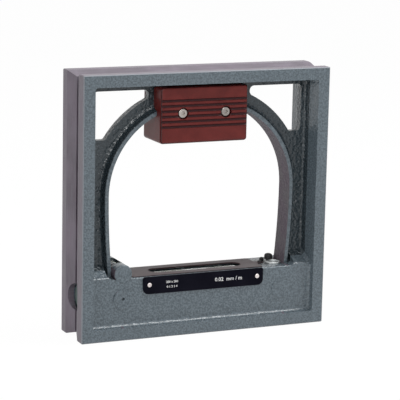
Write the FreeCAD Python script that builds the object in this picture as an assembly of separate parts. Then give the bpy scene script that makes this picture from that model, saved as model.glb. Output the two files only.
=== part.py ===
import FreeCAD, Part
import math
import os

# Precision frame level, 200 mm class. Units are millimetres.
# Origin: middle of the base. X runs along the base, +Y to the back, +Z up.

# ---- cast frame ----
frame_length = 200.0
frame_height = 200.0
frame_depth = 44.0
edge_chamfer = 0.6
side_rim = 9.3          # width of the upright rims at the front face
end_rim = 9.4           # width of the top and bottom rims at the front face
rim_draft = 1.5         # how much the pockets narrow towards the web
pocket_corner = 2.0
pocket_fillet = 2.0
web_thickness = 6.0

# V grooves in the base, the left side and the top
groove_half_width = 13.0
groove_depth = 4.0
relief_width = 3.0
relief_depth = 1.4

# arched opening and the bead round it
jamb = 25.4             # iron from the opening to the outside, at its widest
crown = 27.0            # iron from the opening to the outside, at the top
arch_radius = 66.0
opening_side_radius = 600.0
bead_depth = 18.0
bead_width = 3.2
bead_toe = 6.4
bead_hollow = 1.8       # hollow corner at the foot of the bead
bead_chamfer = 0.5

# corner windows
window_band = 13.0      # from the arch to the curved edge of a window
window_margin = 5.3     # from the rim faces to the straight edges
window_drop = 51.0      # from the outside of the top to a window's foot
window_tip_gap = 6.1    # from an end of the grip to a window's tip
window_corner = 3.6
window_foot_corner = 2.0

# vial block across the base
block_depth = 34.0
block_top = 46.0
block_edge = 1.2
block_toe = 2.5
shoulder_length = 17.0  # raised ends of the block, inwards from the rims
shoulder_rise = 1.8
shoulder_slope = 3.6
ramp_rise = 9.5         # height of the sloped pocket floor at the web
ramp_corner = 2.6

# main bore, trench and cover
bore_radius = 10.4
bore_height = 30.8
bore_blind_gap = 18.0   # iron left between the bore and the right side
cover_left_gap = 1.4    # from the cross vial housing
cover_right_gap = 8.3   # from the adjuster's flange
cover_half_width = 14.4
cover_thickness = 1.0
cover_proud = 0.5
cover_ledge = 3.6
cover_corner = 2.0
slot_width = 12.8
slot_margin = 1.0       # from the vial's plugs to the ends of the slot
tab_width = 5.6
tab_gap = 1.4           # from the adjuster's head
tab_screw_radius = 1.9
tab_screw_shank = 1.1
tab_screw_length = 3.5

# vial carrier
pivot_inset = 34.6      # pivot pin and adjuster, inwards from the sides
pivot_radius = 2.5
running_gap = 0.05
carrier_radius = 8.8
carrier_end_gap = 6.0
carrier_tail = 10.0
saddle_end_gap = 3.4
saddle_end_land = 7.0
saddle_half_width = 9.0
saddle_rise = 11.2
saddle_edge = 1.0
saddle_foot = 3.5
saddle_screw_radius = 1.4
saddle_screw_reach = 6.0
saddle_head_radius = 2.2
saddle_head_height = 1.8
saddle_socket = 1.0
vial_rise = 7.8         # vial axis above the carrier axis
vial_radius = 6.75
vial_wall = 1.0
vial_plug = 3.5
bubble_length = 26.0
bubble_depth = 2.4

# zero adjuster
adjuster_offset = -2.6  # its axis stands a little in front of the mid plane
screw_radius = 2.0
thread_gap = 0.08
sleeve_radius = 4.4
sleeve_wall_gap = 0.05
adjuster_rim = 6.0
adjuster_head = 0.9
adjuster_lift = 0.05
adjuster_dish = 0.4
adjuster_lip = 1.3
adjuster_slot_width = 1.1
adjuster_slot_depth = 0.3
adjuster_collar_radius = 3.5
adjuster_collar_height = 2.2
lug_relief = 4.3
lug_length = 7.0        # flat on the carrier, either side of the screw

# lock screws beside the adjuster
lock_radius = 3.2
lock_height = 4.2
lock_neck_radius = 1.8
lock_neck = 1.1
lock_behind = 8.0
lock_aside = -0.2
lock_shank = 1.4
lock_length = 4.5
small_lock_radius = 1.7
small_lock_height = 2.9
small_lock_behind = 7.2
small_lock_aside = -6.4
small_lock_shank = 0.9

# bosses on the block face
boss_radius = 7.6
boss_rise = 0.8
pin_head_radius = 5.2
pin_head_depth = 1.6
pin_head_inset = 0.3
pin_socket_radius = 1.2
pin_socket_depth = 1.8
pin_wall = 2.0
pad_rise = 0.4
pad_height = 28.8

# cross vial
cross_rise = 3.7        # housing axis above the block
cross_housing_radius = 7.0
cross_housing_rise = 0.4
cross_housing_edge = 1.0
cross_vial_rise = 1.0   # vial axis above the housing axis
cross_radius = 4.0
cross_wall = 0.8
cross_half_length = 12.5
cross_cap_radius = 5.8
cross_cap_depth = 1.8
cross_window_half_length = 8.5
cross_window_half_width = 3.0
cross_bubble_depth = 1.3
cross_bubble_length = 7.0

# side plug
plug_setback = 6.5
plug_thickness = 6.0
plug_edge = 0.8

# name plate
plate_length = 99.4
plate_height = 13.2
plate_top_gap = -0.2
plate_thickness = 0.9
plate_corner = 4.5
plate_top_corner = 1.5
plate_screw_inset = 5.1
plate_screw_drop = 6.2
plate_screw_radius = 1.7
plate_screw_rise = 0.6
plate_screw_shank = 0.9
plate_screw_length = 5.0

# hand grip
grip_offset = -1.9
grip_length = 70.8
grip_depth = 35.0
grip_height = 42.7
grip_top_gap = 1.9      # from the rim
grip_edge = 2.4
grip_clearance = 0.3
rib_count = 6
rib_pitch = 3.92
rib_foot = 12.6         # from the grip's foot to the lowest groove
rib_cutter_radius = 1.15
rib_cutter_rise = 0.1
grip_screw_spacing = 34.8
grip_screw_rise = 22.5
grip_screw_radius = 2.0
grip_head_radius = 3.5
grip_head_height = 2.4
grip_recess_radius = 4.4
grip_recess_depth = 3.2
grip_socket_radius = 1.7
grip_socket_depth = 1.4
grip_nut_length = 9.0

X = FreeCAD.Vector(1, 0, 0)
Y = FreeCAD.Vector(0, 1, 0)
Z = FreeCAD.Vector(0, 0, 1)

half_length = frame_length / 2
half_depth = frame_depth / 2
half_web = web_thickness / 2
half_bead = bead_depth / 2
half_block = block_depth / 2
rim_face = half_length - side_rim
opening_half_width = half_length - jamb
arch_centre = opening_half_width - arch_radius
arch_crown = frame_height - crown
shoulder_start = rim_face - shoulder_length
opening_widest_height = arch_crown - arch_radius
bore_end = half_length - bore_blind_gap
cover_top = block_top + cover_proud
cover_base = cover_top - cover_thickness
adjuster_x = half_length - pivot_inset
pivot_x = -adjuster_x
cross_x = pivot_x
cross_housing_height = block_top + cross_rise
cross_height = cross_housing_height + cross_vial_rise
cross_reach = half_block + cross_housing_rise
cover_left = cross_x + cross_housing_radius + cover_left_gap
cover_right = adjuster_x - adjuster_rim - cover_right_gap
vial_height = bore_height + vial_rise
saddle_top = bore_height + saddle_rise
trench_half_length = cover_right - cover_ledge
saddle_half_length = trench_half_length - saddle_end_gap
plug_end = saddle_half_length - saddle_end_land
vial_half_length = plug_end - vial_plug
tab_end = adjuster_x - adjuster_rim - tab_gap
tab_screw_x = tab_end - tab_width / 2
saddle_screw_x = saddle_half_length - saddle_end_land / 2
grip_top = frame_height - end_rim - grip_top_gap
grip_bottom = grip_top - grip_height
grip_screw_height = grip_bottom + grip_screw_rise
rib_first_height = grip_bottom + rib_foot
window_tip = grip_length / 2 + window_tip_gap
window_foot_height = frame_height - window_drop
window_top = frame_height - end_rim - window_margin
window_outer = rim_face - window_margin


def point(x, y, z):
    return FreeCAD.Vector(x, y, z)


def block(x0, x1, y0, y1, z0, z1):
    return Part.makeBox(x1 - x0, y1 - y0, z1 - z0, point(x0, y0, z0))


def rod(start, direction, radius, length):
    return Part.makeCylinder(radius, length, start, direction)


def line(a, b):
    return Part.makeLine(a, b)


def arc(a, b, c):
    return Part.Arc(a, b, c).toShape()


def extrude(wire, vector):
    return Part.Face(wire).extrude(vector)


def bothSides(shape):
    # the shape and its mirror image behind the mid plane
    return [shape, shape.mirror(point(0, 0, 0), Y)]


def edgesAlong(shape, axis, test):
    # straight edges parallel to the axis whose midpoint passes the test
    found = []
    for edge in shape.Edges:
        a = edge.Vertexes[0].Point
        b = edge.Vertexes[-1].Point
        span = b.sub(a)
        if span.Length < 0.01:
            continue
        if abs(span.dot(axis)) > 0.999 * span.Length and test(a.add(b).multiply(0.5)):
            found.append(edge)
    return found


def roundedRectangle(half_x, z0, z1, y, radius):
    k = radius * (1 - math.sqrt(0.5))
    corners = [(half_x, z0, -1, 1), (half_x, z1, -1, -1), (-half_x, z1, 1, -1), (-half_x, z0, 1, 1)]
    pieces = []
    starts = []
    ends = []
    for index, (x, z, inx, inz) in enumerate(corners):
        along_x = point(x + inx * radius, y, z)
        along_z = point(x, y, z + inz * radius)
        middle = point(x + inx * k, y, z + inz * k)
        first, last = (along_x, along_z) if index % 2 == 0 else (along_z, along_x)
        pieces.append(arc(first, middle, last))
        starts.append(first)
        ends.append(last)
    edges = []
    for index in range(4):
        edges.append(pieces[index])
        edges.append(line(ends[index], starts[(index + 1) % 4]))
    return Part.Wire(edges)


def archHalfWidth(z, grow):
    radius = opening_side_radius + grow
    rise = z - opening_widest_height
    return opening_half_width - opening_side_radius + math.sqrt(radius ** 2 - rise ** 2)


def archWire(grow, y, bottom):
    # outline of the opening, grown outwards all round
    widest = opening_half_width + grow
    radius = arch_radius + grow
    level = opening_widest_height
    middle = (bottom + level) / 2
    k = radius * math.sqrt(0.5)

    def at(x, z):
        return point(x, y, z)

    foot = archHalfWidth(bottom, grow)
    waist = archHalfWidth(middle, grow)
    top = level + radius
    return Part.Wire([
        line(at(-foot, bottom), at(foot, bottom)),
        arc(at(foot, bottom), at(waist, middle), at(widest, level)),
        arc(at(widest, level), at(arch_centre + k, level + k), at(arch_centre, top)),
        line(at(arch_centre, top), at(-arch_centre, top)),
        arc(at(-arch_centre, top), at(-arch_centre - k, level + k), at(-widest, level)),
        arc(at(-widest, level), at(-waist, middle), at(-foot, bottom)),
    ])


def archPrism(grow, half, bottom):
    return extrude(archWire(grow, -half, bottom), point(0, 2 * half, 0))


def grooveWire(place):
    # V with a narrow relief slot along its bottom; place(across, depth) gives a point
    over = 1.0
    slope = groove_half_width / groove_depth
    slot = relief_width / 2
    wall = groove_depth - slot / slope
    floor = groove_depth + relief_depth
    outer = groove_half_width + over * slope
    corners = [(-outer, -over), (-slot, wall), (-slot, floor), (slot, floor), (slot, wall), (outer, -over)]
    points = [place(a, d) for a, d in corners]
    return Part.makePolygon(points + [points[0]])


def grooves():
    left = grooveWire(lambda a, d: point(-half_length + d, a, -1))
    base = grooveWire(lambda a, d: point(-half_length - 1, a, d))
    top = grooveWire(lambda a, d: point(-half_length - 1, a, frame_height - d))
    return [
        extrude(left, point(0, 0, frame_height + 2)),
        extrude(base, point(frame_length + 2, 0, 0)),
        extrude(top, point(frame_length + 2, 0, 0)),
    ]


def pocket():
    # drafted front pocket between the rims, down to the web
    mouth_x = rim_face
    floor_x = mouth_x - rim_draft
    mouth = roundedRectangle(mouth_x, end_rim, frame_height - end_rim, -half_depth, pocket_corner)
    floor = roundedRectangle(
        floor_x, end_rim + rim_draft, frame_height - end_rim - rim_draft, -half_web, pocket_corner)
    solid = Part.makeLoft([mouth, floor], True, True)
    rim = [e for e in solid.Edges if all(abs(v.Point.y + half_web) < 1e-4 for v in e.Vertexes)]
    return solid.makeFillet(pocket_fillet, rim)


def window(side):
    # corner window: straight outer edges, an inner edge that follows the arch
    low, high = sorted([side * window_tip, side * window_outer])
    plate = block(low, high, -half_depth, half_depth, window_foot_height, window_top)
    hub = rod(point(side * arch_centre, -half_depth, opening_widest_height), Y,
              arch_radius + window_band, frame_depth)
    shape = plate.cut(hub)
    inner_foot = arch_centre + math.sqrt(
        (arch_radius + window_band) ** 2 - (window_foot_height - opening_widest_height) ** 2)
    sharp = edgesAlong(shape, Y, lambda m: abs(abs(m.x) - inner_foot) < 0.5)
    shape = shape.makeFillet(window_foot_corner, sharp)
    corners = edgesAlong(shape, Y, lambda m: isWindowCorner(m))
    return shape.makeFillet(window_corner, corners)


def isWindowCorner(m):
    # upper corners, the tip and the outer foot corner of a window
    outer = abs(abs(m.x) - window_outer) < 0.1
    tip = abs(abs(m.x) - window_tip) < 0.1
    return outer or tip


def beadLayers(c, bottom):
    # front half of the bead, grown by c: chamfered crest, steep wall and hollow foot
    foot = bead_toe - bead_width
    crest = half_bead + c
    profile = [
        (bead_width - bead_chamfer + c, crest),
        (bead_width + c, crest - bead_chamfer),
        (bead_width + foot * 0.28 + c, half_web + bead_hollow + c),
        (bead_width + foot * 0.52 + c, half_web + bead_hollow * 0.38 + c),
        (bead_toe + c, half_web),
    ]
    layers = []
    for (grow0, y0), (grow1, y1) in zip(profile, profile[1:]):
        layers.append(Part.makeLoft([archWire(grow0, -y0, bottom), archWire(grow1, -y1, bottom)], True, True))
    return layers


def bead():
    # raised rim round the opening
    bottom = block_top - block_edge * 4
    layers = beadLayers(0, bottom)
    front = layers[0].multiFuse(layers[1:])
    middle = archPrism(bead_toe, half_web, bottom)
    ring = middle.multiFuse(bothSides(front))
    return ring.removeSplitter()


def toeProfile(x):
    # section of the vial block: rounded top edges, hollow toes on the base rim
    low = end_rim - 1
    foot = end_rim + 0.5
    e = block_edge
    k = e * (1 - math.sqrt(0.5))
    t = block_toe
    j = t * (1 - math.sqrt(0.5))
    h = half_block

    def at(y, z):
        return point(x, y, z)

    return Part.Wire([
        line(at(-h - t, low), at(h + t, low)),
        line(at(h + t, low), at(h + t, foot)),
        arc(at(h + t, foot), at(h + j, foot + j), at(h, foot + t)),
        line(at(h, foot + t), at(h, block_top - e)),
        arc(at(h, block_top - e), at(h - k, block_top - k), at(h - e, block_top)),
        line(at(h - e, block_top), at(-h + e, block_top)),
        arc(at(-h + e, block_top), at(-h + k, block_top - k), at(-h, block_top - e)),
        line(at(-h, block_top - e), at(-h, foot + t)),
        arc(at(-h, foot + t), at(-h - j, foot + j), at(-h - t, foot)),
        line(at(-h - t, foot), at(-h - t, low)),
    ])


def wallToe(side):
    # hollow corner between the block face and an upright rim
    wall = rim_face - rim_draft * 0.2
    t = block_toe
    x = side * wall
    low, high = sorted([x - side * t, x + side * 1.0])
    corner = block(low, high, -half_block - t, -half_block + 1, end_rim, block_top)
    hollow = rod(point(x - side * t, -half_block - t, end_rim - 1), Z, t, block_top + 2)
    return corner.cut(hollow)


def ramp(side):
    # sloped cast floor where an upright pocket meets the block, hollow against the rim
    wall = side * (rim_face + 1)
    root = block_top - 6
    foot = block_top + shoulder_rise - 0.3
    head = block_top + ramp_rise
    front = -half_block + block_edge
    back = -half_web + 0.5

    def floor(y, top, inner):
        return Part.makePolygon([
            point(wall, y, root), point(side * inner, y, root), point(side * inner, y, top),
            point(wall, y, top), point(wall, y, root)])

    def corner(y, top, edge):
        near = side * (edge - ramp_corner)
        return Part.makePolygon([
            point(wall, y, top - 1), point(near, y, top - 1), point(near, y, top),
            point(side * edge, y, top + ramp_corner), point(wall, y, top + ramp_corner),
            point(wall, y, top - 1)])

    slope = shoulder_start + shoulder_slope
    body = Part.makeLoft([floor(front, foot, slope), floor(back, head, slope)], True, True)
    fillet = Part.makeLoft([corner(front, foot, rim_face), corner(back, head, rim_face - rim_draft)], True, True)
    return body.fuse(fillet)


def shoulder(side):
    # raised end of the block with a sloping step
    wall = side * (rim_face + 1)
    start = side * shoulder_start
    slope = side * (shoulder_start + shoulder_slope)
    top = block_top + shoulder_rise
    low = block_top - 3
    h = half_block
    outline = Part.makePolygon([
        point(start, -h, low), point(wall, -h, low), point(wall, -h, top),
        point(slope, -h, top), point(start, -h, block_top - 0.2), point(start, -h, low)])
    body = extrude(outline, Y * block_depth)
    edges = edgesAlong(body, X, lambda m: m.z > top - 0.1)
    return body.makeChamfer(block_edge * 0.6, edges)


def vialBlock():
    wall = rim_face + 1
    body = extrude(toeProfile(-wall), point(2 * wall, 0, 0))
    parts = []
    for side in (-1, 1):
        parts.append(shoulder(side))
        parts += bothSides(wallToe(side))
        parts += bothSides(ramp(side))
    return body.multiFuse(parts)


def bosses():
    depth = 4.0
    ring = rod(point(pivot_x, -half_block - boss_rise, bore_height), Y, boss_radius, depth)
    pad = rod(point(adjuster_x, -half_block - pad_rise, pad_height), Y, boss_radius, depth)
    housing = rod(point(cross_x, -cross_reach, cross_housing_height), Y, cross_housing_radius, 2 * cross_reach)
    ends = [e for e in housing.Edges if len(e.Vertexes) == 1]
    return [ring, pad, housing.makeFillet(cross_housing_edge, ends)]


def adjusterPlace(z):
    return point(adjuster_x, adjuster_offset, z)


def lockPlace(z):
    return point(adjuster_x + lock_aside, adjuster_offset + lock_behind, z)


def smallLockPlace(z):
    return point(adjuster_x + small_lock_aside, adjuster_offset + small_lock_behind, z)


def carrierCuts():
    # bore from the left side, trench under the cover, seats of the pin and the adjuster
    over = 1.0
    bore = rod(point(-half_length - over, 0, bore_height), X, bore_radius, half_length + over + bore_end)
    trench_y = cover_half_width - cover_ledge
    trench = block(-trench_half_length, trench_half_length, -trench_y, trench_y, bore_height, cover_top)
    seat = block(cover_left, cover_right, -cover_half_width, cover_half_width, cover_base, cover_top + over)
    seat = seat.makeFillet(cover_corner, edgesAlong(seat, Z, lambda m: True))
    tab = tabOutline(cover_base, cover_thickness + over)
    tab_screw = rod(point(tab_screw_x, 0, cover_base - tab_screw_length), Z, tab_screw_shank, tab_screw_length + over)
    pin = rod(point(pivot_x, -half_block - over, bore_height), Y, pivot_radius, block_depth + over - pin_wall)
    pin_head = rod(point(pivot_x, -half_block - boss_rise - over, bore_height), Y,
                   pin_head_radius, pin_head_depth + boss_rise + over)
    sleeve = rod(adjusterPlace(bore_height), Z, sleeve_radius + sleeve_wall_gap, block_top)
    lock = rod(lockPlace(block_top - lock_length), Z, lock_shank, lock_length + over)
    small_lock = rod(smallLockPlace(block_top - lock_length), Z, small_lock_shank, lock_length + over)
    return [bore, trench, seat, tab, tab_screw, pin, pin_head, sleeve, lock, small_lock]


def crossCuts():
    bore = rod(point(cross_x, -cross_reach - 1, cross_height), Y, cross_radius, 2 * cross_reach + 2)
    top = cross_housing_height + cross_housing_radius + 1
    slot = block(cross_x - cross_window_half_width, cross_x + cross_window_half_width,
                 -cross_window_half_length, cross_window_half_length, cross_height, top)
    slot = slot.makeFillet(cross_window_half_width * 0.9, edgesAlong(slot, Z, lambda m: True))
    return [bore, slot] + crossCaps()


def plateScrewPlaces():
    x = plate_length / 2 - plate_screw_inset
    z = plateTop() - plate_screw_drop
    return [point(-x, -half_block, z), point(x, -half_block, z)]


def plateTop():
    return block_top - plate_top_gap


def frameCasting():
    body = block(-half_length, half_length, -half_depth, half_depth, 0, frame_height)
    body = body.makeChamfer(edge_chamfer, body.Edges)
    body = body.cut(bothSides(pocket()))
    body = body.cut([window(-1), window(1)])
    keep = [vialBlock()] + bosses()
    body = body.multiFuse([bead()] + keep)
    opening = archPrism(0, half_depth, block_top)
    body = body.cut(opening.cut(keep))
    body = body.cut(grooves() + carrierCuts() + crossCuts())
    holes = []
    for place in plateScrewPlaces():
        holes.append(rod(place, Y, plate_screw_shank, plate_screw_length))
    return body.cut(holes)


# ---- vial cover and name plate ----
def tabOutline(z, height):
    bar = block(cover_right - cover_corner, tab_screw_x, -tab_width / 2, tab_width / 2, z, z + height)
    end = rod(point(tab_screw_x, 0, z), Z, tab_width / 2, height)
    return bar.fuse(end)


def vialCover():
    plate = block(cover_left, cover_right, -cover_half_width, cover_half_width, cover_base, cover_top)
    plate = plate.makeFillet(cover_corner, edgesAlong(plate, Z, lambda m: True))
    plate = plate.fuse(tabOutline(cover_base, cover_thickness))
    straight = plug_end + slot_margin - slot_width / 2
    cuts = [block(-straight, straight, -slot_width / 2, slot_width / 2, cover_base - 1, cover_top + 1)]
    for side in (-1, 1):
        cuts.append(rod(point(side * straight, 0, cover_base - 1), Z, slot_width / 2, cover_thickness + 2))
    cuts.append(rod(point(tab_screw_x, 0, cover_base - 1), Z, tab_screw_shank, cover_thickness + 2))
    return plate.cut(cuts).removeSplitter()


def coverScrew():
    sphere = Part.makeSphere(tab_screw_radius * 1.25, point(tab_screw_x, 0, cover_top - tab_screw_radius * 0.6))
    head = sphere.common(rod(point(tab_screw_x, 0, cover_top), Z, tab_screw_radius, tab_screw_radius * 2))
    shank = rod(point(tab_screw_x, 0, cover_base - tab_screw_length), Z, tab_screw_shank,
                cover_thickness + tab_screw_length)
    slot = block(tab_screw_x - tab_screw_radius, tab_screw_x + tab_screw_radius, -0.3, 0.3,
                 cover_top + 0.9, cover_top + tab_screw_radius * 2)
    return head.fuse(shank).cut(slot)


def namePlate():
    half = plate_length / 2
    top = plateTop()
    back = -half_block
    plate = block(-half, half, back - plate_thickness, back, top - plate_height, top)
    plate = plate.makeFillet(plate_corner, edgesAlong(plate, Y, lambda m: m.z < top - 1))
    plate = plate.makeFillet(plate_top_corner, edgesAlong(plate, Y, lambda m: m.z > top - 1))
    holes = []
    for place in plateScrewPlaces():
        holes.append(rod(place.sub(Y.multiply(1.0) * 2), Y, plate_screw_shank, 4))
    return plate.cut(holes)


def plateScrews():
    screws = []
    for place in plateScrewPlaces():
        face = place.y - plate_thickness
        head = rod(point(place.x, face - plate_screw_rise, place.z), Y, plate_screw_radius, plate_screw_rise)
        rim = [e for e in head.Edges if all(abs(v.Point.y - head.BoundBox.YMin) < 1e-4 for v in e.Vertexes)]
        head = head.makeFillet(plate_screw_rise * 0.6, rim)
        shank = rod(point(place.x, face, place.z), Y, plate_screw_shank, plate_thickness + plate_screw_length)
        slot = block(place.x - 2, place.x + 2, face - 2, face - plate_screw_rise * 0.5,
                     place.z - 0.22, place.z + 0.22)
        screws.append(head.fuse(shank).cut(slot))
    return Part.makeCompound(screws)


# ---- main vial and its carrier ----
def carrierBar():
    start = pivot_x - carrier_tail
    end = bore_end - carrier_end_gap
    side = carrier_radius + 1
    bar = rod(point(start, 0, bore_height), X, carrier_radius, end - start)
    flat = block(-saddle_half_length, saddle_half_length, -side, side, bore_height, bore_height + side)
    lug_top = bore_height + carrier_radius - lug_relief
    lug = block(adjuster_x - lug_length, end + 1, -side, side, lug_top, lug_top + side)
    pin = rod(point(pivot_x, -side, bore_height), Y, pivot_radius + running_gap, 2 * side)
    thread = rod(adjusterPlace(bore_height - side), Z, screw_radius + thread_gap, 2 * side)
    screws = [rod(place, Z * -1, saddle_screw_radius, saddle_screw_reach) for place in saddleScrewPlaces(bore_height)]
    return bar.cut([flat, lug, pin, thread] + screws)


def saddleScrewPlaces(z):
    return [point(-saddle_screw_x, 0, z), point(saddle_screw_x, 0, z)]


def vialSaddle():
    # bed of the vial: a trough with a step for a screw at each end
    body = block(-saddle_half_length, saddle_half_length, -saddle_half_width, saddle_half_width,
                 bore_height, saddle_top)
    body = body.makeFillet(saddle_edge, edgesAlong(body, X, lambda m: m.z > saddle_top - 0.1))
    step = bore_height + saddle_foot
    seat = rod(point(-vial_half_length, 0, vial_height), X, vial_radius, 2 * vial_half_length)
    mouth = block(-vial_half_length, vial_half_length, -vial_radius * 0.88, vial_radius * 0.88,
                  vial_height, saddle_top + 1)
    plugs = rod(point(-plug_end, 0, vial_height), X, plugRadius(), 2 * plug_end)
    cuts = [seat, mouth, plugs]
    for place in saddleScrewPlaces(bore_height):
        cuts.append(rod(place, Z, saddle_screw_radius, saddle_foot))
    for side in (-1, 1):
        low, high = sorted([side * plug_end, side * (saddle_half_length + 1)])
        cuts.append(block(low, high, -saddle_half_width, saddle_half_width, step, saddle_top + 1))
    return body.cut(cuts)


def saddleScrews():
    screws = []
    for place in saddleScrewPlaces(bore_height + saddle_foot):
        head = rod(place, Z, saddle_head_radius, saddle_head_height)
        socket = rod(place.add(Z * (saddle_head_height / 2)), Z, saddle_socket, saddle_head_height)
        shank = rod(place, Z * -1, saddle_screw_radius, saddle_foot + saddle_screw_reach)
        screws.append(head.fuse(shank).cut(socket))
    return Part.makeCompound(screws)


def plugRadius():
    return vial_radius - vial_wall


def mainVialGlass():
    outer = rod(point(-vial_half_length, 0, vial_height), X, vial_radius, 2 * vial_half_length)
    inner = rod(point(-vial_half_length - 1, 0, vial_height), X, plugRadius(), 2 * vial_half_length + 2)
    return outer.cut(inner)


def bubbleCut(centre, along, across, length, depth, radius):
    # boat-shaped hollow at the top of a filled vial
    flat = centre.add(Z * (radius - depth))
    half = length / 2
    span = along * half
    lift = Z * (depth + 1.0)
    wire = Part.Wire([
        arc(flat.sub(span).add(lift), flat, flat.add(span).add(lift)),
        line(flat.add(span).add(lift), flat.sub(span).add(lift)),
    ])
    wire.translate(across * -radius)
    return extrude(wire, across * (2 * radius))


def mainVialSpirit():
    reach = vial_half_length - vial_plug
    body = rod(point(-reach, 0, vial_height), X, plugRadius(), 2 * reach)
    bubble = bubbleCut(point(0, 0, vial_height), X, Y, bubble_length, bubble_depth, plugRadius())
    return body.cut(bubble)


def vialPlugs():
    plugs = []
    for side in (-1, 1):
        x = side * (vial_half_length - vial_plug)
        plugs.append(rod(point(x, 0, vial_height), X * side, plugRadius(), 2 * vial_plug))
    return Part.makeCompound(plugs)


def pivotPin():
    face = -half_block - boss_rise + pin_head_inset
    seat = -half_block + pin_head_depth
    head = rod(point(pivot_x, face, bore_height), Y, pin_head_radius, seat - face)
    shank = rod(point(pivot_x, seat, bore_height), Y, pivot_radius, half_block - pin_wall - seat)
    socket = rod(point(pivot_x, face, bore_height), Y, pin_socket_radius, pin_socket_depth)
    return head.fuse(shank).cut(socket)


# ---- zero adjuster ----
def sleeveFoot():
    # where the outermost side of the sleeve meets the roof of the bore
    far = abs(adjuster_offset) + sleeve_radius
    return bore_height + math.sqrt(bore_radius ** 2 - far ** 2)


def adjusterBushing():
    height = block_top - sleeveFoot()
    sleeve = rod(adjusterPlace(sleeveFoot()), Z, sleeve_radius, height)
    return sleeve.cut(rod(adjusterPlace(sleeveFoot()), Z, screw_radius + running_gap, height))


def adjustingScrew():
    # dished, slotted head on a screw that is held between block and collar
    foot = bore_height - carrier_radius + 1
    base = block_top + adjuster_lift
    top = base + adjuster_head
    stem = rod(adjusterPlace(foot), Z, screw_radius, base - foot)
    tip = [e for e in stem.Edges if all(abs(v.Point.z - foot) < 1e-4 for v in e.Vertexes)]
    stem = stem.makeChamfer(0.6, tip)
    head = rod(adjusterPlace(base), Z, adjuster_rim, adjuster_head)
    rim = [e for e in head.Edges if all(v.Point.z > base + 0.1 for v in e.Vertexes)]
    head = head.makeFillet(0.35, rim)
    bowl = adjuster_rim - adjuster_lip
    dish = rod(adjusterPlace(top - adjuster_dish), Z, bowl, 1)
    place = adjusterPlace(top - adjuster_dish - adjuster_slot_depth)
    slot = block(place.x - bowl, place.x + bowl, place.y - adjuster_slot_width / 2,
                 place.y + adjuster_slot_width / 2, place.z, place.z + 1)
    return stem.fuse(head).cut([dish, slot])


def adjusterCollar():
    base = sleeveFoot() - running_gap - adjuster_collar_height
    ring = rod(adjusterPlace(base), Z, adjuster_collar_radius, adjuster_collar_height)
    return ring.cut(rod(adjusterPlace(base), Z, screw_radius, adjuster_collar_height))


def domedScrew(place, radius, height, neck_radius, neck, shank_radius):
    # screw with a domed head on a short neck and a socket in its crown
    base = place.add(Z * neck)
    head = rod(base, Z, radius, height)
    crown = [e for e in head.Edges if all(v.Point.z > base.z + 0.1 for v in e.Vertexes)]
    head = head.makeFillet(radius * 0.6, crown)
    shank = rod(place.add(Z * -lock_length), Z, shank_radius, lock_length + 0.5)
    parts = [shank]
    if neck > 0:
        parts.append(rod(place, Z, neck_radius, neck + 0.5))
    screw = head.multiFuse(parts)
    return screw.cut(rod(base.add(Z * (height - radius * 0.4)), Z, radius * 0.36, radius))


def lockScrew():
    return domedScrew(lockPlace(block_top), lock_radius, lock_height, lock_neck_radius, lock_neck, lock_shank)


def smallLockScrew():
    return domedScrew(smallLockPlace(block_top), small_lock_radius, small_lock_height, 0, 0, small_lock_shank)


# ---- cross vial ----
def crossCaps():
    front = rod(point(cross_x, -cross_reach, cross_housing_height), Y, cross_cap_radius, cross_cap_depth)
    return bothSides(front)


def crossRod(radius):
    return rod(point(cross_x, -cross_half_length, cross_height), Y, radius, 2 * cross_half_length)


def crossVialGlass():
    return crossRod(cross_radius).cut(crossRod(cross_radius - cross_wall))


def crossSpirit():
    inner = cross_radius - cross_wall
    bubble = bubbleCut(point(cross_x, 0, cross_height), Y, X, cross_bubble_length, cross_bubble_depth, inner)
    return crossRod(inner).cut(bubble)


def crossStoppers():
    # plaster stoppers between the vial ends and the caps
    length = cross_reach - cross_cap_depth - cross_half_length
    start = point(cross_x, cross_half_length, cross_height)
    return Part.makeCompound(bothSides(rod(start, Y, cross_radius, length)))


# ---- side plug ----
def sidePlug():
    face = -half_length + plug_setback
    plug = rod(point(face, 0, bore_height), X, bore_radius, plug_thickness)
    outer = [e for e in plug.Edges if all(abs(v.Point.x - face) < 1e-4 for v in e.Vertexes)]
    return plug.makeFillet(plug_edge, outer)


# ---- hand grip ----
def gripScrewPlaces():
    half = grip_screw_spacing / 2
    return [grip_offset - half, grip_offset + half]


def gripHollow():
    # room for the web, the arch bead and the hollow corner under the top rim
    c = grip_clearance
    over = half_bead + c + 1
    inner = archPrism(-c, over, block_top)
    web = block(-half_length, half_length, -half_web, half_web, block_top, frame_height).cut(inner)
    crest = archPrism(bead_width - bead_chamfer + c, half_bead + c, block_top)
    layers = [crest.cut(inner)]
    for layer in beadLayers(c, block_top):
        layers += bothSides(layer.cut(inner))
    corner = half_web + pocket_fillet + c
    roof = block(-half_length, half_length, -corner, corner, grip_top - pocket_fillet, frame_height)
    return [web, roof] + layers


def gripHalf():
    low = grip_offset - grip_length / 2
    high = grip_offset + grip_length / 2
    face = -grip_depth / 2
    body = block(low, high, face, 0, grip_bottom, grip_top)
    edges = edgesAlong(body, Z, lambda m: m.y < face + 0.1)
    edges += edgesAlong(body, X, lambda m: m.y < face + 0.1)
    edges += edgesAlong(body, Y, lambda m: True)
    body = body.makeFillet(grip_edge, edges)
    cuts = []
    for index in range(rib_count):
        z = rib_first_height + index * rib_pitch
        cuts.append(rod(point(low - 1, face - rib_cutter_rise, z), X, rib_cutter_radius, grip_length + 2))
    for x in gripScrewPlaces():
        cuts.append(rod(point(x, face - 1, grip_screw_height), Y, grip_recess_radius, grip_recess_depth + 1))
        cuts.append(rod(point(x, face, grip_screw_height), Y, grip_screw_radius, grip_depth))
    return body.cut(cuts).cut(gripHollow())


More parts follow.
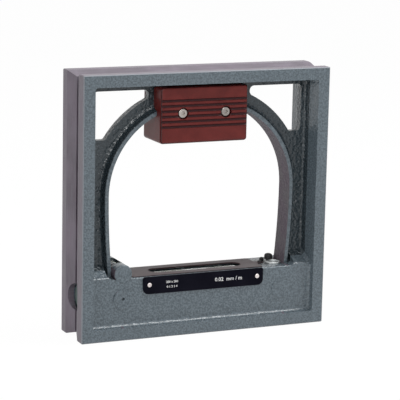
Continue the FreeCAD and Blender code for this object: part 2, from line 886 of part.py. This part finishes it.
def gripScrews():
    # cap screws from the front
    seat = -grip_depth / 2 + grip_recess_depth
    screws = []
    for x in gripScrewPlaces():
        head = rod(point(x, seat - grip_head_height, grip_screw_height), Y, grip_head_radius, grip_head_height)
        front = [e for e in head.Edges if all(v.Point.y < seat - 0.1 for v in e.Vertexes)]
        head = head.makeFillet(0.7, front)
        socket = hexagon(x, seat - grip_head_height - 1, grip_screw_height, grip_socket_radius,
                         grip_socket_depth + 1)
        end = -seat - grip_nut_length * 0.3
        shank = rod(point(x, seat, grip_screw_height), Y, grip_screw_radius, end - seat)
        screws.append(head.fuse(shank).cut(socket))
    return Part.makeCompound(screws)


def gripNuts():
    # sleeve nuts from the back
    seat = grip_depth / 2 - grip_recess_depth
    nuts = []
    for x in gripScrewPlaces():
        head = rod(point(x, seat, grip_screw_height), Y, grip_head_radius, grip_head_height)
        rear = [e for e in head.Edges if all(v.Point.y > seat + 0.1 for v in e.Vertexes)]
        head = head.makeFillet(0.7, rear)
        slot = block(x - 4, x + 4, seat + grip_head_height - 0.9, seat + 9,
                     grip_screw_height - 0.45, grip_screw_height + 0.45)
        nuts.append(head.cut(slot))
    return Part.makeCompound(nuts)


def hexagon(x, y, z, radius, length):
    corners = []
    for index in range(7):
        angle = math.pi / 3 * index
        corners.append(point(x + radius * math.cos(angle), y, z + radius * math.sin(angle)))
    return extrude(Part.makePolygon(corners), Y * length)


def build():
    grip_front = gripHalf()
    cap_front, cap_back = crossCaps()
    return {
        "frame_casting": frameCasting(),
        "grip_front": grip_front,
        "grip_back": grip_front.mirror(point(0, 0, 0), Y),
        "grip_screws": gripScrews(),
        "grip_nuts": gripNuts(),
        "vial_cover": vialCover(),
        "cover_screw": coverScrew(),
        "name_plate": namePlate(),
        "plate_screws": plateScrews(),
        "carrier_bar": carrierBar(),
        "vial_saddle": vialSaddle(),
        "saddle_screws": saddleScrews(),
        "main_vial_glass": mainVialGlass(),
        "main_vial_spirit": mainVialSpirit(),
        "main_vial_plugs": vialPlugs(),
        "pivot_pin": pivotPin(),
        "adjuster_bushing": adjusterBushing(),
        "adjusting_screw": adjustingScrew(),
        "adjuster_collar": adjusterCollar(),
        "lock_screw": lockScrew(),
        "small_lock_screw": smallLockScrew(),
        "cross_vial_glass": crossVialGlass(),
        "cross_vial_spirit": crossSpirit(),
        "cross_vial_stoppers": crossStoppers(),
        "cross_cap_front": cap_front,
        "cross_cap_back": cap_back,
        "side_plug": sidePlug(),
    }


os.makedirs("parts", exist_ok=True)
for name, shape in build().items():
    shape.exportStep("parts/" + name + ".step")
    print(name, round(shape.Volume, 1), len(shape.Solids), shape.isValid())
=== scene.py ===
import bpy
import bmesh
import math
from mathutils import Matrix, Vector


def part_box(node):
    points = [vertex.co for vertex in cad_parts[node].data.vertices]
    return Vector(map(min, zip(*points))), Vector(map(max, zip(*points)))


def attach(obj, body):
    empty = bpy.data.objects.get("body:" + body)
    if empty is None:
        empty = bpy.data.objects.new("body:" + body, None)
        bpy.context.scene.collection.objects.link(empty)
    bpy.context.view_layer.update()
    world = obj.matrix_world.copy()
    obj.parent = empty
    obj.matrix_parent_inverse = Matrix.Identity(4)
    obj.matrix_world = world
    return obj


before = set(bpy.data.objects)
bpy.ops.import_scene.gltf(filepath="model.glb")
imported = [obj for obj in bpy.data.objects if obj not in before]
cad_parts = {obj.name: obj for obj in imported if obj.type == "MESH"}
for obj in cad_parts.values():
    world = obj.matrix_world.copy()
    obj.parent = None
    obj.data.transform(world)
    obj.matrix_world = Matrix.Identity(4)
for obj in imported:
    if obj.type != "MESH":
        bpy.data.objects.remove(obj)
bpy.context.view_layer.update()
print("frame level loaded,", len(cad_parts), "nodes")


# small helpers for shader trees

def newMaterial(name):
    material = bpy.data.materials.new(name)
    material.use_nodes = True
    tree = material.node_tree
    shader = tree.nodes["Principled BSDF"]
    return material, tree, shader


def addNode(tree, kind, **values):
    node = tree.nodes.new(kind)
    for key, value in values.items():
        setattr(node, key, value)
    return node


def feed(tree, target, value):
    # link a socket, or set a plain number or colour
    if isinstance(value, bpy.types.NodeSocket):
        tree.links.new(value, target)
    elif value is not None:
        target.default_value = value


def calc(tree, operation, first, second=None, third=None, clamp=False):
    node = addNode(tree, "ShaderNodeMath", operation=operation, use_clamp=clamp)
    for index, value in enumerate((first, second, third)):
        feed(tree, node.inputs[index], value)
    return node.outputs[0]


def ramped(tree, value, low, high, outLow=0.0, outHigh=1.0):
    node = addNode(tree, "ShaderNodeMapRange", interpolation_type="SMOOTHSTEP")
    for name, number in (("Value", value), ("From Min", low), ("From Max", high),
                         ("To Min", outLow), ("To Max", outHigh)):
        feed(tree, node.inputs[name], number)
    return node.outputs["Result"]


def mixColour(tree, factor, first, second, blend="MIX"):
    node = addNode(tree, "ShaderNodeMix", data_type="RGBA", blend_type=blend)
    feed(tree, node.inputs["Factor"], factor)
    feed(tree, node.inputs["A"], first)
    feed(tree, node.inputs["B"], second)
    return node.outputs["Result"]


def mixValue(tree, factor, first, second):
    node = addNode(tree, "ShaderNodeMix", data_type="FLOAT")
    feed(tree, node.inputs["Factor"], factor)
    feed(tree, node.inputs["A"], first)
    feed(tree, node.inputs["B"], second)
    return node.outputs["Result"]


def noiseOf(tree, vector, scale, detail=3.0, roughness=0.5, distortion=0.0):
    node = addNode(tree, "ShaderNodeTexNoise")
    feed(tree, node.inputs["Vector"], vector)
    node.inputs["Scale"].default_value = scale
    node.inputs["Detail"].default_value = detail
    node.inputs["Roughness"].default_value = roughness
    node.inputs["Distortion"].default_value = distortion
    return node.outputs["Fac"]


def bumpOf(tree, height, strength, distance, normal=None):
    node = addNode(tree, "ShaderNodeBump")
    node.inputs["Strength"].default_value = strength
    node.inputs["Distance"].default_value = distance
    feed(tree, node.inputs["Height"], height)
    feed(tree, node.inputs["Normal"], normal)
    return node.outputs["Normal"]


def newGroup(name, inputs, outputs):
    tree = bpy.data.node_groups.new(name, "ShaderNodeTree")
    for label, kind, value in inputs:
        socket = tree.interface.new_socket(label, in_out="INPUT", socket_type=kind)
        if value is not None:
            socket.default_value = value
    for label, kind in outputs:
        tree.interface.new_socket(label, in_out="OUTPUT", socket_type=kind)
    return tree, tree.nodes.new("NodeGroupInput"), tree.nodes.new("NodeGroupOutput")


def useGroup(tree, group, **values):
    node = addNode(tree, "ShaderNodeGroup", node_tree=group)
    for key, value in values.items():
        feed(tree, node.inputs[key], value)
    return node


# hammered enamel: rounded cells with fine grain over them

def buildHammeredEnamel():
    tree, start, end = newGroup(
        "hammeredEnamel",
        [("Vector", "NodeSocketVector", None), ("cellSize", "NodeSocketFloat", 420.0),
         ("grain", "NodeSocketFloat", 0.4)],
        [("Height", "NodeSocketFloat"), ("mottle", "NodeSocketFloat")])
    position = start.outputs["Vector"]
    warp = addNode(tree, "ShaderNodeTexNoise")
    warp.inputs["Scale"].default_value = 260.0
    warp.inputs["Detail"].default_value = 2.0
    feed(tree, warp.inputs["Vector"], position)
    shift = addNode(tree, "ShaderNodeVectorMath", operation="MULTIPLY_ADD")
    feed(tree, shift.inputs[0], warp.outputs["Color"])
    shift.inputs[1].default_value = (0.0022, 0.0022, 0.0022)
    feed(tree, shift.inputs[2], position)
    cells = addNode(tree, "ShaderNodeTexVoronoi", feature="SMOOTH_F1")
    cells.inputs["Smoothness"].default_value = 0.55
    feed(tree, cells.inputs["Vector"], shift.outputs[0])
    feed(tree, cells.inputs["Scale"], start.outputs["cellSize"])
    grain = noiseOf(tree, position, 900.0, 3.0, 0.6)
    mixed = calc(tree, "MULTIPLY_ADD", grain, start.outputs["grain"], cells.outputs["Distance"])
    feed(tree, end.inputs["Height"], mixed)
    feed(tree, end.inputs["mottle"], noiseOf(tree, shift.outputs[0], 70.0, 4.0, 0.62))
    return tree


# fine lines left by a grinding wheel, along the X, Y and Z of each face

def buildGrindingMarks():
    tree, start, end = newGroup(
        "grindingMarks",
        [("Vector", "NodeSocketVector", None), ("fineness", "NodeSocketFloat", 1.0)],
        [("lines", "NodeSocketFloat"), ("clouds", "NodeSocketFloat")])
    stretch = addNode(tree, "ShaderNodeMapping")
    stretch.inputs["Scale"].default_value = (60.0, 2600.0, 60.0)
    feed(tree, stretch.inputs["Vector"], start.outputs["Vector"])
    fine = addNode(tree, "ShaderNodeTexNoise")
    fine.inputs["Detail"].default_value = 3.0
    feed(tree, fine.inputs["Vector"], stretch.outputs["Vector"])
    feed(tree, fine.inputs["Scale"], start.outputs["fineness"])
    feed(tree, end.inputs["lines"], fine.outputs["Fac"])
    feed(tree, end.inputs["clouds"], noiseOf(tree, start.outputs["Vector"], 38.0, 5.0, 0.6))
    return tree


# smudges and fine pitting that dull any handled surface

def buildHandled():
    tree, start, end = newGroup(
        "handledSurface",
        [("Vector", "NodeSocketVector", None), ("roughness", "NodeSocketFloat", 0.4),
         ("spread", "NodeSocketFloat", 0.15)],
        [("roughness", "NodeSocketFloat"), ("shade", "NodeSocketFloat"), ("Height", "NodeSocketFloat")])
    broad = noiseOf(tree, start.outputs["Vector"], 55.0, 4.0, 0.6, 0.4)
    centred = calc(tree, "SUBTRACT", broad, 0.5)
    feed(tree, end.inputs["roughness"],
         calc(tree, "MULTIPLY_ADD", centred, start.outputs["spread"], start.outputs["roughness"], clamp=True))
    feed(tree, end.inputs["shade"], broad)
    feed(tree, end.inputs["Height"], noiseOf(tree, start.outputs["Vector"], 1500.0, 2.0, 0.5))
    return tree


hammeredEnamel = buildHammeredEnamel()
grindingMarks = buildGrindingMarks()
handled = buildHandled()

castingLook = {
    "enamelLight": (0.092, 0.116, 0.134, 1.0),
    "enamelDark": (0.052, 0.068, 0.080, 1.0),
    # painted shade, multiplied into the enamel of the recessed web
    "recessPaintedShade": (0.32, 0.35, 0.36, 1.0),
    "recessDepth": 0.0088,
    "groundIron": (0.128, 0.102, 0.130, 1.0),
    "groundDark": (0.076, 0.058, 0.076, 1.0),
    "bareIron": (0.085, 0.076, 0.086, 1.0),
    "edgeIron": (0.17, 0.18, 0.20, 1.0),
    "halfSize": 0.1,
    "height": 0.2,
    "halfDepth": 0.022,
    "edge": 0.0007,
    "grooveHalf": 0.0131,
    "grooveDepth": 0.0056,
    "archHalf": 0.0746,
    "archLevel": 0.107,
    "archRadius": 0.066,
    "sideRadius": 0.6,
    "archBand": 0.0009,
    "archFacing": 0.45,
    "speckle": 720.0,
    "cellSize": 430.0,
    "grain": 0.35,
    "gloss": 0.23,
    "glossSpread": 0.16,
    "bareRoughness": 0.6,
    "groundRoughness": (0.36, 0.55),
    "edgeRoughness": 0.75,
    "metalShare": 0.25,
    "bareShine": 0.25,
    "paintShine": 0.5,
    "smoothCoat": 0.55,
    "roughCoat": 1.0,
    "bump": 0.75,
    "bumpDepth": 0.0009,
    "grindingDepth": 0.04,
}


def buildCasting():
    look = castingLook
    material, tree, shader = newMaterial("castFrame")
    spot = addNode(tree, "ShaderNodeTexCoord").outputs["Object"]
    axes = addNode(tree, "ShaderNodeSeparateXYZ")
    feed(tree, axes.inputs[0], spot)
    x, y, z = axes.outputs
    facing = addNode(tree, "ShaderNodeSeparateXYZ")
    feed(tree, facing.inputs[0], addNode(tree, "ShaderNodeNewGeometry").outputs["Normal"])
    acrossNormal = calc(tree, "ABSOLUTE", facing.outputs["Y"])
    sideX = calc(tree, "ABSOLUTE", x)
    depthY = calc(tree, "ABSOLUTE", y)

    # outer ground faces and their V grooves
    fromTop = calc(tree, "SUBTRACT", z, look["height"])
    fromSide = calc(tree, "SUBTRACT", sideX, look["halfSize"])
    fromLeft = calc(tree, "SUBTRACT", calc(tree, "MULTIPLY", x, -1.0), look["halfSize"])
    fromBase = calc(tree, "MULTIPLY", z, -1.0)
    nearest = calc(tree, "MAXIMUM", calc(tree, "MAXIMUM", fromTop, fromSide), fromBase)
    outer = calc(tree, "GREATER_THAN", nearest, -look["edge"])
    grooved = calc(tree, "MAXIMUM", calc(tree, "MAXIMUM", fromTop, fromLeft), fromBase)
    inGroove = calc(tree, "MULTIPLY",
                    calc(tree, "GREATER_THAN", grooved, -look["grooveDepth"]),
                    calc(tree, "LESS_THAN", depthY, look["grooveHalf"]))
    ground = calc(tree, "MAXIMUM", outer, inGroove)
    frontEdge = calc(tree, "GREATER_THAN", depthY, look["halfDepth"] - look["edge"])
    edge = calc(tree, "MULTIPLY", outer, frontEdge)

    # the machined wall of the arched opening
    past = calc(tree, "MAXIMUM",
                calc(tree, "SUBTRACT", sideX, look["archHalf"] - look["archRadius"]), 0.0)
    rise = calc(tree, "SUBTRACT", z, look["archLevel"])
    reach = calc(tree, "SQRT", calc(tree, "ADD", calc(tree, "POWER", past, 2.0),
                                    calc(tree, "POWER", calc(tree, "ABSOLUTE", rise), 2.0)))
    archGap = calc(tree, "SUBTRACT", reach, look["archRadius"])
    wall = calc(tree, "MULTIPLY_ADD", calc(tree, "POWER", calc(tree, "ABSOLUTE", rise), 2.0),
                -0.5 / look["sideRadius"], look["archHalf"])
    sideGap = calc(tree, "SUBTRACT", sideX, wall)
    gap = mixValue(tree, calc(tree, "GREATER_THAN", rise, 0.0), sideGap, archGap)
    onArch = calc(tree, "LESS_THAN", calc(tree, "ABSOLUTE", gap), look["archBand"])
    bare = calc(tree, "MULTIPLY", onArch, calc(tree, "LESS_THAN", acrossNormal, look["archFacing"]))

    enamel = useGroup(tree, hammeredEnamel, Vector=spot, cellSize=look["cellSize"], grain=look["grain"])
    marks = useGroup(tree, grindingMarks, Vector=spot, fineness=1.0)
    wear = useGroup(tree, handled, Vector=spot, roughness=look["gloss"], spread=look["glossSpread"])

    recess = calc(tree, "LESS_THAN", depthY, look["recessDepth"])
    speckle = noiseOf(tree, spot, look["speckle"], 2.0, 0.7)
    paint = mixColour(tree, ramped(tree, speckle, 0.35, 0.65),
                      look["enamelDark"], look["enamelLight"])
    # painted shade: the enamel is darkened on the web and the lower pocket walls, nearer the middle plane than
    # recessDepth
    paint = mixColour(tree, recess, paint,
                      mixColour(tree, 1.0, paint, look["recessPaintedShade"], "MULTIPLY"))
    iron = mixColour(tree, ramped(tree, marks.outputs["clouds"], 0.3, 0.7),
                     look["groundDark"], look["groundIron"])
    iron = mixColour(tree, ramped(tree, marks.outputs["lines"], 0.35, 0.7, 0.0, 0.35), iron,
                     look["edgeIron"])
    iron = mixColour(tree, edge, iron, look["edgeIron"])
    rough = mixColour(tree, ramped(tree, enamel.outputs["mottle"], 0.3, 0.7),
                      look["bareIron"], look["groundDark"])
    colour = mixColour(tree, ground, mixColour(tree, bare, paint, rough), iron)
    feed(tree, shader.inputs["Base Color"], colour)
    feed(tree, shader.inputs["Metallic"], calc(tree, "MULTIPLY", ground, look["metalShare"]))
    groundRough = ramped(tree, marks.outputs["clouds"], 0.3, 0.7, *look["groundRoughness"])
    outerRough = mixValue(tree, edge, groundRough, look["edgeRoughness"])
    innerRough = mixValue(tree, bare, wear.outputs["roughness"], look["bareRoughness"])
    feed(tree, shader.inputs["Roughness"], mixValue(tree, ground, innerRough, outerRough))
    feed(tree, shader.inputs["Specular IOR Level"],
         mixValue(tree, bare, look["paintShine"], look["bareShine"]))

    # painted recesses are coarser than the filled and rubbed front faces
    coarse = mixValue(tree, recess, look["smoothCoat"], look["roughCoat"])
    bumpy = calc(tree, "MULTIPLY", enamel.outputs["Height"], coarse)
    bumpy = calc(tree, "MULTIPLY", bumpy, calc(tree, "SUBTRACT", 1.0, ground))
    fine = calc(tree, "MULTIPLY", calc(tree, "MULTIPLY", marks.outputs["lines"], look["grindingDepth"]), ground)
    relief = calc(tree, "ADD", bumpy, fine)
    feed(tree, shader.inputs["Normal"], bumpOf(tree, relief, look["bump"], look["bumpDepth"]))
    return material


gripLook = {
    "ridge": (0.100, 0.012, 0.010, 1.0),
    "body": (0.070, 0.007, 0.006, 1.0),
    # painted shade for the roots of the grip grooves
    "root": (0.022, 0.002, 0.003, 1.0),
    "shine": 0.22,
    "faceY": 0.0175,
    "rootDepth": 0.0009,
    "rootLimit": 0.0013,
    "roughness": 0.38,
    "spread": 0.35,
}


def buildGrip():
    look = gripLook
    material, tree, shader = newMaterial("gripPhenolic")
    spot = addNode(tree, "ShaderNodeTexCoord").outputs["Object"]
    axes = addNode(tree, "ShaderNodeSeparateXYZ")
    feed(tree, axes.inputs[0], spot)
    deep = calc(tree, "SUBTRACT", look["faceY"], calc(tree, "ABSOLUTE", axes.outputs["Y"]))
    wear = useGroup(tree, handled, Vector=spot, roughness=look["roughness"], spread=look["spread"])
    body = mixColour(tree, ramped(tree, wear.outputs["shade"], 0.3, 0.7), look["body"], look["ridge"])
    # painted shade: the groove roots just below the front faces take the darker root colour
    inRoot = calc(tree, "MULTIPLY", ramped(tree, deep, 0.0002, look["rootDepth"]),
                  calc(tree, "LESS_THAN", deep, look["rootLimit"]))
    feed(tree, shader.inputs["Base Color"], mixColour(tree, inRoot, body, look["root"]))
    feed(tree, shader.inputs["Roughness"], wear.outputs["roughness"])
    shader.inputs["Specular IOR Level"].default_value = look["shine"]
    feed(tree, shader.inputs["Normal"], bumpOf(tree, wear.outputs["Height"], 0.25, 0.0002))
    return material


enamels = {
    "coverEnamel": {
        "colour": (0.026, 0.015, 0.017, 1), "worn": (0.042, 0.026, 0.029, 1), "roughness": 0.42,
        "spread": 0.3, "bump": 0.3, "shine": 0.15, "nodes": ("vial_cover",),
    },
    "plateEnamel": {
        "colour": (0.003, 0.003, 0.006, 1), "worn": (0.005, 0.005, 0.009, 1), "roughness": 0.4,
        "spread": 0.2, "bump": 0.1, "shine": 0.02, "nodes": ("name_plate",),
    },
    "blackenedSteel": {
        "colour": (0.005, 0.005, 0.006, 1), "worn": (0.014, 0.013, 0.014, 1), "roughness": 0.4,
        "spread": 0.3, "bump": 0.2, "shine": 0.25, "nodes": ("lock_screw", "small_lock_screw", "cover_screw"),
    },
    "mattBlack": {
        "colour": (0.008, 0.008, 0.008, 1), "worn": (0.02, 0.02, 0.02, 1), "roughness": 0.65,
        "spread": 0.3, "bump": 0.2, "shine": 0.5, "nodes": ("vial_saddle",),
    },
    "plugEnamel": {
        "colour": (0.07, 0.105, 0.10, 1), "worn": (0.11, 0.15, 0.14, 1), "roughness": 0.45,
        "spread": 0.3, "bump": 0.2, "shine": 0.5, "nodes": ("side_plug",),
    },
    "setPlaster": {
        "colour": (0.55, 0.53, 0.47, 1), "worn": (0.75, 0.72, 0.66, 1), "roughness": 0.85,
        "spread": 0.3, "bump": 0.2, "shine": 0.5, "nodes": ("main_vial_plugs", "cross_vial_stoppers"),
    },
}


def buildEnamel(name, look):
    # plain enamelled, blackened or cast parts
    material, tree, shader = newMaterial(name)
    spot = addNode(tree, "ShaderNodeTexCoord").outputs["Object"]
    wear = useGroup(tree, handled, Vector=spot, roughness=look["roughness"], spread=look["spread"])
    feed(tree, shader.inputs["Base Color"],
         mixColour(tree, ramped(tree, wear.outputs["shade"], 0.3, 0.7), look["colour"], look["worn"]))
    feed(tree, shader.inputs["Roughness"], wear.outputs["roughness"])
    shader.inputs["Specular IOR Level"].default_value = look["shine"]
    feed(tree, shader.inputs["Normal"], bumpOf(tree, wear.outputs["Height"], look["bump"], 0.00015))
    return material


turnedMetals = {
    "platedSteel": {
        "colour": (0.46, 0.43, 0.40, 1), "dark": (0.22, 0.20, 0.19, 1), "roughness": 0.30,
        "nodes": ("grip_screws", "grip_nuts", "saddle_screws", "adjuster_bushing", "adjuster_collar"),
    },
    "brightScrews": {
        "colour": (0.80, 0.74, 0.72, 1), "dark": (0.55, 0.50, 0.49, 1), "roughness": 0.3,
        "nodes": ("plate_screws",),
    },
    "adjusterRing": {
        "colour": (0.74, 0.76, 0.76, 1), "dark": (0.50, 0.53, 0.53, 1), "roughness": 0.3,
        "nodes": ("adjusting_screw",),
    },
    "turnedBrass": {
        "colour": (0.72, 0.52, 0.22, 1), "dark": (0.5, 0.36, 0.15, 1), "roughness": 0.3,
        "nodes": ("carrier_bar",),
    },
}


def buildTurnedMetal(name, look):
    material, tree, shader = newMaterial(name)
    spot = addNode(tree, "ShaderNodeTexCoord").outputs["Object"]
    marks = useGroup(tree, grindingMarks, Vector=spot, fineness=1.6)
    wear = useGroup(tree, handled, Vector=spot, roughness=look["roughness"], spread=0.25)
    feed(tree, shader.inputs["Base Color"],
         mixColour(tree, ramped(tree, marks.outputs["clouds"], 0.3, 0.7), look["dark"], look["colour"]))
    shader.inputs["Metallic"].default_value = 0.9
    feed(tree, shader.inputs["Roughness"], wear.outputs["roughness"])
    feed(tree, shader.inputs["Normal"], bumpOf(tree, marks.outputs["lines"], 0.15, 0.0001))
    return material


vialLook = {
    "glass": (0.93, 0.97, 0.96, 1.0),
    "line": (0.01, 0.01, 0.01, 1.0),
    "pitch": 0.002,
    "lineWidth": 0.00028,
    "firstLine": 0.0105,
    "lineCount": 5,
    "crossFirstLine": 0.0045,
    "crossLineCount": 1,
    "spirit": (0.80, 0.88, 0.62, 1.0),
}


def buildVialGlass(name, axis, firstLine, lineCount):
    # clear glass with burnt-in black division lines each side of the middle
    look = vialLook
    material, tree, shader = newMaterial(name)
    spot = addNode(tree, "ShaderNodeTexCoord").outputs["Object"]
    axes = addNode(tree, "ShaderNodeSeparateXYZ")
    feed(tree, axes.inputs[0], spot)
    along = calc(tree, "ABSOLUTE", axes.outputs[axis])
    step = calc(tree, "DIVIDE", calc(tree, "SUBTRACT", along, firstLine - look["pitch"] / 2), look["pitch"])
    offset = calc(tree, "ABSOLUTE", calc(tree, "SUBTRACT", calc(tree, "FRACT", step), 0.5))
    line = calc(tree, "LESS_THAN", offset, look["lineWidth"] / 2 / look["pitch"])
    inside = calc(tree, "MULTIPLY", calc(tree, "GREATER_THAN", step, 0.0),
                  calc(tree, "LESS_THAN", step, float(lineCount)))
    mark = calc(tree, "MULTIPLY", line, inside)
    wear = useGroup(tree, handled, Vector=spot, roughness=0.04, spread=0.05)
    feed(tree, shader.inputs["Base Color"], mixColour(tree, mark, look["glass"], look["line"]))
    feed(tree, shader.inputs["Roughness"],
         mixValue(tree, mark, wear.outputs["roughness"], 0.6))
    shader.inputs["IOR"].default_value = 1.5
    shader.inputs["Transmission Weight"].default_value = 0.9
    feed(tree, shader.inputs["Normal"], bumpOf(tree, wear.outputs["Height"], 0.03, 0.0001))
    return material


def buildSpirit():
    look = vialLook
    material, tree, shader = newMaterial("vialSpirit")
    spot = addNode(tree, "ShaderNodeTexCoord").outputs["Object"]
    shade = noiseOf(tree, spot, 60.0, 2.0)
    feed(tree, shader.inputs["Base Color"],
         mixColour(tree, ramped(tree, shade, 0.3, 0.7, 0.0, 0.3), look["spirit"], look["glass"]))
    shader.inputs["Roughness"].default_value = 0.02
    shader.inputs["IOR"].default_value = 1.36
    shader.inputs["Transmission Weight"].default_value = 0.9
    return material


def dress(material, *nodes):
    for name in nodes:
        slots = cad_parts[name].material_slots
        for slot in slots:
            slot.material = material


castFrame = buildCasting()
gripPhenolic = buildGrip()
dress(castFrame, "frame_casting", "cross_cap_front", "cross_cap_back", "pivot_pin")
dress(gripPhenolic, "grip_front", "grip_back")
for finish, look in enamels.items():
    dress(buildEnamel(finish, look), *look["nodes"])
for finish, look in turnedMetals.items():
    dress(buildTurnedMetal(finish, look), *look["nodes"])
dress(buildVialGlass("mainVialGlass", "X", vialLook["firstLine"], vialLook["lineCount"]), "main_vial_glass")
dress(buildVialGlass("crossVialGlass", "Y", vialLook["crossFirstLine"], vialLook["crossLineCount"]),
      "cross_vial_glass")
dress(buildSpirit(), "main_vial_spirit", "cross_vial_spirit")
print("materials made")

# plain figures filled into the black plate

plateText = {
    "figures": [
        {"words": "0.02  mm / m", "x": 0.0205, "z": 0.0398, "size": 0.0042},
        {"words": "200 x 200", "x": -0.0262, "z": 0.0412, "size": 0.0024},
        {"words": "0 1 2 3 4", "x": -0.0262, "z": 0.0375, "size": 0.0024},
    ],
    "proud": 0.00012,
    "paint": (0.74, 0.74, 0.74, 1.0),
    "wornPaint": (0.42, 0.42, 0.43, 1.0),
}


def addFigures():
    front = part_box("name_plate")[0][1]
    material, tree, shader = newMaterial("figurePaint")
    spot = addNode(tree, "ShaderNodeTexCoord").outputs["Object"]
    wear = useGroup(tree, handled, Vector=spot, roughness=0.5, spread=0.3)
    feed(tree, shader.inputs["Base Color"],
         mixColour(tree, ramped(tree, wear.outputs["shade"], 0.3, 0.7), plateText["wornPaint"],
                   plateText["paint"]))
    feed(tree, shader.inputs["Roughness"], wear.outputs["roughness"])
    for index, figure in enumerate(plateText["figures"]):
        curve = bpy.data.curves.new("plateFigures%d" % (index + 1), "FONT")
        curve.body = figure["words"]
        curve.size = figure["size"]
        curve.align_x = "CENTER"
        curve.align_y = "CENTER"
        curve.extrude = plateText["proud"] / 2
        curve.resolution_u = 2
        holder = bpy.data.objects.new("holder", curve)
        bpy.context.scene.collection.objects.link(holder)
        bpy.context.view_layer.update()
        mesh = bpy.data.meshes.new_from_object(holder.evaluated_get(bpy.context.evaluated_depsgraph_get()))
        bpy.data.objects.remove(holder)
        mesh.transform(Matrix.Rotation(math.radians(90), 4, "X"))
        mesh.transform(Matrix.Translation((figure["x"], front - plateText["proud"] / 2, figure["z"])))
        mesh.materials.clear()
        mesh.materials.append(material)
        piece = bpy.data.objects.new("plateFigures%d" % (index + 1), mesh)
        bpy.context.scene.collection.objects.link(piece)
        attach(piece, "frame")


addFigures()
print("plate figures set")

# floor, light and camera

stageLook = {"floorSize": 12.0, "floorColour": (0.86, 0.86, 0.86, 1.0), "glow": 0.98, "ambient": 0.24}


def addFloor():
    mesh = bpy.data.meshes.new("floor")
    build = bmesh.new()
    bmesh.ops.create_grid(build, x_segments=1, y_segments=1, size=stageLook["floorSize"] / 2)
    build.to_mesh(mesh)
    build.free()
    floor = bpy.data.objects.new("floor", mesh)
    bpy.context.scene.collection.objects.link(floor)
    material, tree, shader = newMaterial("paleFloor")
    shader.inputs["Base Color"].default_value = stageLook["floorColour"]
    shader.inputs["Roughness"].default_value = 0.9
    path = addNode(tree, "ShaderNodeLightPath")
    glow = addNode(tree, "ShaderNodeEmission")
    glow.inputs["Color"].default_value = (1, 1, 1, 1)
    seen = calc(tree, "MAXIMUM", path.outputs["Is Camera Ray"],
                calc(tree, "MAXIMUM", path.outputs["Is Glossy Ray"], path.outputs["Is Transmission Ray"]))
    blend = addNode(tree, "ShaderNodeMixShader")
    feed(tree, blend.inputs[0], calc(tree, "MULTIPLY", seen, stageLook["glow"]))
    tree.links.new(shader.outputs[0], blend.inputs[1])
    tree.links.new(glow.outputs[0], blend.inputs[2])
    tree.links.new(blend.outputs[0], tree.nodes["Material Output"].inputs["Surface"])
    mesh.materials.append(material)


def addWorld():
    world = bpy.data.worlds.new("studio")
    bpy.context.scene.world = world
    world.use_nodes = True
    tree = world.node_tree
    back = tree.nodes["Background"]
    back.inputs["Color"].default_value = (1, 1, 1, 1)
    path = addNode(tree, "ShaderNodeLightPath")
    seen = calc(tree, "MAXIMUM", path.outputs["Is Camera Ray"],
                calc(tree, "MAXIMUM", path.outputs["Is Glossy Ray"], path.outputs["Is Transmission Ray"]))
    feed(tree, back.inputs["Strength"], mixValue(tree, seen, stageLook["ambient"], 1.0))


lamps = {
    "keyLamp": {"place": (-0.25, -1.25, 0.95), "size": (0.5, 0.4), "power": 9.0},
    "topLamp": {"place": (0.42, -0.18, 1.25), "size": (0.45, 1.5), "power": 27.0},
    "sideLamp": {"place": (-1.2, -0.5, 0.2), "size": (0.5, 0.35), "power": 3.5},
}
lampAim = (0, 0, 0.1)


def addLamp(name, look):
    lamp = bpy.data.lights.new(name, "AREA")
    lamp.shape = "RECTANGLE"
    lamp.size, lamp.size_y = look["size"]
    lamp.energy = look["power"]
    holder = bpy.data.objects.new(name, lamp)
    bpy.context.scene.collection.objects.link(holder)
    direction = Vector(lampAim) - Vector(look["place"])
    holder.location = look["place"]
    holder.rotation_euler = direction.to_track_quat("-Z", "Y").to_euler()


cameraLook = {
    "place": (-0.577, -1.294, 0.3801),
    "turn": (78.77, -1.19, -23.92),
    "lens": 171.0,
}


def addCamera():
    lens = bpy.data.cameras.new("camera")
    lens.lens = cameraLook["lens"]
    lens.sensor_width = 36.0
    lens.clip_end = 50.0
    camera = bpy.data.objects.new("camera", lens)
    bpy.context.scene.collection.objects.link(camera)
    camera.location = cameraLook["place"]
    camera.rotation_euler = [math.radians(angle) for angle in cameraLook["turn"]]
    bpy.context.scene.camera = camera


addFloor()
addWorld()
for lampName, lampLook in lamps.items():
    addLamp(lampName, lampLook)
addCamera()
bpy.context.scene.view_settings.view_transform = "Standard"
print("studio set")
